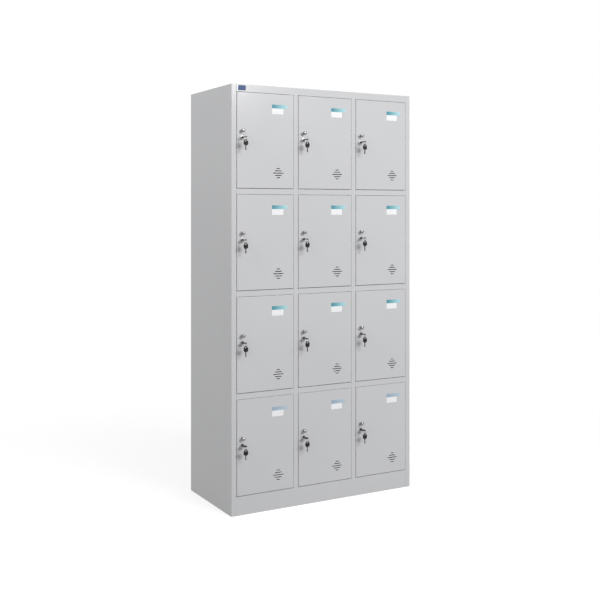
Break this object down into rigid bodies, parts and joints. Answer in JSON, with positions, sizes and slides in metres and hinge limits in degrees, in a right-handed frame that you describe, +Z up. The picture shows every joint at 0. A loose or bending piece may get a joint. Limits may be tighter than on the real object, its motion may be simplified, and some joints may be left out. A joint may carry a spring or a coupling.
{
  "type": "compartment locker",
  "caption": "Free-standing steel locker with a grid of small hinged doors, each with a cam lock, hanging keys, a pull knob and vent slots.",
  "frame": {"origin": "on the floor under the middle of the cabinet's carcass", "axes": "+X to the right, +Y to the back, +Z up; the doors face -Y"},
  "size_m": [0.915, 0.4967, 1.83],
  "materials": {
    "cabinet_paint": "satin light grey powder coat",
    "chrome": "polished",
    "lock_steel": "nickel plated",
    "key_plastic": "black moulded",
    "label_card": "white card",
    "label_band": "plain teal band",
    "badge_blue": "plain blue badge"
  },
  "bodies": {
    "cabinet": {"left_side_panel": "cabinet_paint", "right_side_panel": "cabinet_paint", "back_panel": "cabinet_paint", "top_panel": "cabinet_paint", "bottom_panel": "cabinet_paint", "base_frame": "cabinet_paint", "partition_1": "cabinet_paint", "partition_2": "cabinet_paint", "shelves_1": "cabinet_paint", "shelves_2": "cabinet_paint", "shelves_3": "cabinet_paint"},
    "door_r4c1": {"door_r4c1": "cabinet_paint", "door_fittings_r4c1": "chrome"},
    "lock_r4c1": {"lock_plug_r4c1": "lock_steel"},
    "spare_key_r4c1": {"spare_key_r4c1": "key_plastic"},
    "door_r4c2": {"door_r4c2": "cabinet_paint", "door_fittings_r4c2": "chrome"},
    "lock_r4c2": {"lock_plug_r4c2": "lock_steel"},
    "spare_key_r4c2": {"spare_key_r4c2": "key_plastic"},
    "door_r4c3": {"door_r4c3": "cabinet_paint", "door_fittings_r4c3": "chrome"},
    "lock_r4c3": {"lock_plug_r4c3": "lock_steel"},
    "spare_key_r4c3": {"spare_key_r4c3": "key_plastic"},
    "door_r3c1": {"door_r3c1": "cabinet_paint", "door_fittings_r3c1": "chrome"},
    "lock_r3c1": {"lock_plug_r3c1": "lock_steel"},
    "spare_key_r3c1": {"spare_key_r3c1": "key_plastic"},
    "door_r3c2": {"door_r3c2": "cabinet_paint", "door_fittings_r3c2": "chrome"},
    "lock_r3c2": {"lock_plug_r3c2": "lock_steel"},
    "spare_key_r3c2": {"spare_key_r3c2": "key_plastic"},
    "door_r3c3": {"door_r3c3": "cabinet_paint", "door_fittings_r3c3": "chrome"},
    "lock_r3c3": {"lock_plug_r3c3": "lock_steel"},
    "spare_key_r3c3": {"spare_key_r3c3": "key_plastic"},
    "door_r2c1": {"door_r2c1": "cabinet_paint", "door_fittings_r2c1": "chrome"},
    "lock_r2c1": {"lock_plug_r2c1": "lock_steel"},
    "spare_key_r2c1": {"spare_key_r2c1": "key_plastic"},
    "door_r2c2": {"door_r2c2": "cabinet_paint", "door_fittings_r2c2": "chrome"},
    "lock_r2c2": {"lock_plug_r2c2": "lock_steel"},
    "spare_key_r2c2": {"spare_key_r2c2": "key_plastic"},
    "door_r2c3": {"door_r2c3": "cabinet_paint", "door_fittings_r2c3": "chrome"},
    "lock_r2c3": {"lock_plug_r2c3": "lock_steel"},
    "spare_key_r2c3": {"spare_key_r2c3": "key_plastic"},
    "door_r1c1": {"door_r1c1": "cabinet_paint", "door_fittings_r1c1": "chrome"},
    "lock_r1c1": {"lock_plug_r1c1": "lock_steel"},
    "spare_key_r1c1": {"spare_key_r1c1": "key_plastic"},
    "door_r1c2": {"door_r1c2": "cabinet_paint", "door_fittings_r1c2": "chrome"},
    "lock_r1c2": {"lock_plug_r1c2": "lock_steel"},
    "spare_key_r1c2": {"spare_key_r1c2": "key_plastic"},
    "door_r1c3": {"door_r1c3": "cabinet_paint", "door_fittings_r1c3": "chrome"},
    "lock_r1c3": {"lock_plug_r1c3": "lock_steel"},
    "spare_key_r1c3": {"spare_key_r1c3": "key_plastic"}
  },
  "joints": [
    {"name": "door_hinge_r4c1", "type": "hinge", "parent": "cabinet", "child": "door_r4c1", "pos_m": [-0.1635, -0.2218, 0.2859], "axis": [0, 0, 1], "range_deg": [0, 105]},
    {"name": "lock_turn_r4c1", "type": "hinge", "parent": "door_r4c1", "child": "lock_r4c1", "pos_m": [-0.4079, -0.225, 0.2975], "axis": [0, 1, 0], "range_deg": [0, 90]},
    {"name": "key_ring_swing_r4c1", "type": "hinge", "parent": "door_r4c1", "child": "spare_key_r4c1", "pos_m": [-0.40894, -0.25674, 0.2975], "axis": [0, 0, 1], "range_deg": [0, 90]},
    {"name": "door_hinge_r4c2", "type": "hinge", "parent": "cabinet", "child": "door_r4c2", "pos_m": [0.1332, -0.2218, 0.2859], "axis": [0, 0, 1], "range_deg": [0, 105]},
    {"name": "lock_turn_r4c2", "type": "hinge", "parent": "door_r4c2", "child": "lock_r4c2", "pos_m": [-0.1112, -0.225, 0.2975], "axis": [0, 1, 0], "range_deg": [0, 90]},
    {"name": "key_ring_swing_r4c2", "type": "hinge", "parent": "door_r4c2", "child": "spare_key_r4c2", "pos_m": [-0.11224, -0.25674, 0.2975], "axis": [0, 0, 1], "range_deg": [0, 90]},
    {"name": "door_hinge_r4c3", "type": "hinge", "parent": "cabinet", "child": "door_r4c3", "pos_m": [0.4299, -0.2218, 0.2859], "axis": [0, 0, 1], "range_deg": [0, 105]},
    {"name": "lock_turn_r4c3", "type": "hinge", "parent": "door_r4c3", "child": "lock_r4c3", "pos_m": [0.1855, -0.225, 0.2975], "axis": [0, 1, 0], "range_deg": [0, 90]},
    {"name": "key_ring_swing_r4c3", "type": "hinge", "parent": "door_r4c3", "child": "spare_key_r4c3", "pos_m": [0.18446, -0.25674, 0.2975], "axis": [0, 0, 1], "range_deg": [0, 90]},
    {"name": "door_hinge_r3c1", "type": "hinge", "parent": "cabinet", "child": "door_r3c1", "pos_m": [-0.1635, -0.2218, 0.7217], "axis": [0, 0, 1], "range_deg": [0, 105]},
    {"name": "lock_turn_r3c1", "type": "hinge", "parent": "door_r3c1", "child": "lock_r3c1", "pos_m": [-0.4079, -0.225, 0.7333], "axis": [0, 1, 0], "range_deg": [0, 90]},
    {"name": "key_ring_swing_r3c1", "type": "hinge", "parent": "door_r3c1", "child": "spare_key_r3c1", "pos_m": [-0.40894, -0.25674, 0.7333], "axis": [0, 0, 1], "range_deg": [0, 90]},
    {"name": "door_hinge_r3c2", "type": "hinge", "parent": "cabinet", "child": "door_r3c2", "pos_m": [0.1332, -0.2218, 0.7217], "axis": [0, 0, 1], "range_deg": [0, 105]},
    {"name": "lock_turn_r3c2", "type": "hinge", "parent": "door_r3c2", "child": "lock_r3c2", "pos_m": [-0.1112, -0.225, 0.7333], "axis": [0, 1, 0], "range_deg": [0, 90]},
    {"name": "key_ring_swing_r3c2", "type": "hinge", "parent": "door_r3c2", "child": "spare_key_r3c2", "pos_m": [-0.11224, -0.25674, 0.7333], "axis": [0, 0, 1], "range_deg": [0, 90]},
    {"name": "door_hinge_r3c3", "type": "hinge", "parent": "cabinet", "child": "door_r3c3", "pos_m": [0.4299, -0.2218, 0.7217], "axis": [0, 0, 1], "range_deg": [0, 105]},
    {"name": "lock_turn_r3c3", "type": "hinge", "parent": "door_r3c3", "child": "lock_r3c3", "pos_m": [0.1855, -0.225, 0.7333], "axis": [0, 1, 0], "range_deg": [0, 90]},
    {"name": "key_ring_swing_r3c3", "type": "hinge", "parent": "door_r3c3", "child": "spare_key_r3c3", "pos_m": [0.18446, -0.25674, 0.7333], "axis": [0, 0, 1], "range_deg": [0, 90]},
    {"name": "door_hinge_r2c1", "type": "hinge", "parent": "cabinet", "child": "door_r2c1", "pos_m": [-0.1635, -0.2218, 1.1575], "axis": [0, 0, 1], "range_deg": [0, 105]},
    {"name": "lock_turn_r2c1", "type": "hinge", "parent": "door_r2c1", "child": "lock_r2c1", "pos_m": [-0.4079, -0.225, 1.1691], "axis": [0, 1, 0], "range_deg": [0, 90]},
    {"name": "key_ring_swing_r2c1", "type": "hinge", "parent": "door_r2c1", "child": "spare_key_r2c1", "pos_m": [-0.40894, -0.25674, 1.1691], "axis": [0, 0, 1], "range_deg": [0, 90]},
    {"name": "door_hinge_r2c2", "type": "hinge", "parent": "cabinet", "child": "door_r2c2", "pos_m": [0.1332, -0.2218, 1.1575], "axis": [0, 0, 1], "range_deg": [0, 105]},
    {"name": "lock_turn_r2c2", "type": "hinge", "parent": "door_r2c2", "child": "lock_r2c2", "pos_m": [-0.1112, -0.225, 1.1691], "axis": [0, 1, 0], "range_deg": [0, 90]},
    {"name": "key_ring_swing_r2c2", "type": "hinge", "parent": "door_r2c2", "child": "spare_key_r2c2", "pos_m": [-0.11224, -0.25674, 1.1691], "axis": [0, 0, 1], "range_deg": [0, 90]},
    {"name": "door_hinge_r2c3", "type": "hinge", "parent": "cabinet", "child": "door_r2c3", "pos_m": [0.4299, -0.2218, 1.1575], "axis": [0, 0, 1], "range_deg": [0, 105]},
    {"name": "lock_turn_r2c3", "type": "hinge", "parent": "door_r2c3", "child": "lock_r2c3", "pos_m": [0.1855, -0.225, 1.1691], "axis": [0, 1, 0], "range_deg": [0, 90]},
    {"name": "key_ring_swing_r2c3", "type": "hinge", "parent": "door_r2c3", "child": "spare_key_r2c3", "pos_m": [0.18446, -0.25674, 1.1691], "axis": [0, 0, 1], "range_deg": [0, 90]},
    {"name": "door_hinge_r1c1", "type": "hinge", "parent": "cabinet", "child": "door_r1c1", "pos_m": [-0.1635, -0.2218, 1.5933], "axis": [0, 0, 1], "range_deg": [0, 105]},
    {"name": "lock_turn_r1c1", "type": "hinge", "parent": "door_r1c1", "child": "lock_r1c1", "pos_m": [-0.4079, -0.225, 1.6049], "axis": [0, 1, 0], "range_deg": [0, 90]},
    {"name": "key_ring_swing_r1c1", "type": "hinge", "parent": "door_r1c1", "child": "spare_key_r1c1", "pos_m": [-0.40894, -0.25674, 1.6049], "axis": [0, 0, 1], "range_deg": [0, 90]},
    {"name": "door_hinge_r1c2", "type": "hinge", "parent": "cabinet", "child": "door_r1c2", "pos_m": [0.1332, -0.2218, 1.5933], "axis": [0, 0, 1], "range_deg": [0, 105]},
    {"name": "lock_turn_r1c2", "type": "hinge", "parent": "door_r1c2", "child": "lock_r1c2", "pos_m": [-0.1112, -0.225, 1.6049], "axis": [0, 1, 0], "range_deg": [0, 90]},
    {"name": "key_ring_swing_r1c2", "type": "hinge", "parent": "door_r1c2", "child": "spare_key_r1c2", "pos_m": [-0.11224, -0.25674, 1.6049], "axis": [0, 0, 1], "range_deg": [0, 90]},
    {"name": "door_hinge_r1c3", "type": "hinge", "parent": "cabinet", "child": "door_r1c3", "pos_m": [0.4299, -0.2218, 1.5933], "axis": [0, 0, 1], "range_deg": [0, 105]},
    {"name": "lock_turn_r1c3", "type": "hinge", "parent": "door_r1c3", "child": "lock_r1c3", "pos_m": [0.1855, -0.225, 1.6049], "axis": [0, 1, 0], "range_deg": [0, 90]},
    {"name": "key_ring_swing_r1c3", "type": "hinge", "parent": "door_r1c3", "child": "spare_key_r1c3", "pos_m": [0.18446, -0.25674, 1.6049], "axis": [0, 0, 1], "range_deg": [0, 90]}
  ],
  "couplings": [
    {"joint": "key_ring_swing_r4c1", "follows": "lock_turn_r4c1", "ratio": 1},
    {"joint": "key_ring_swing_r4c2", "follows": "lock_turn_r4c2", "ratio": 1},
    {"joint": "key_ring_swing_r4c3", "follows": "lock_turn_r4c3", "ratio": 1},
    {"joint": "key_ring_swing_r3c1", "follows": "lock_turn_r3c1", "ratio": 1},
    {"joint": "key_ring_swing_r3c2", "follows": "lock_turn_r3c2", "ratio": 1},
    {"joint": "key_ring_swing_r3c3", "follows": "lock_turn_r3c3", "ratio": 1},
    {"joint": "key_ring_swing_r2c1", "follows": "lock_turn_r2c1", "ratio": 1},
    {"joint": "key_ring_swing_r2c2", "follows": "lock_turn_r2c2", "ratio": 1},
    {"joint": "key_ring_swing_r2c3", "follows": "lock_turn_r2c3", "ratio": 1},
    {"joint": "key_ring_swing_r1c1", "follows": "lock_turn_r1c1", "ratio": 1},
    {"joint": "key_ring_swing_r1c2", "follows": "lock_turn_r1c2", "ratio": 1},
    {"joint": "key_ring_swing_r1c3", "follows": "lock_turn_r1c3", "ratio": 1}
  ]
}
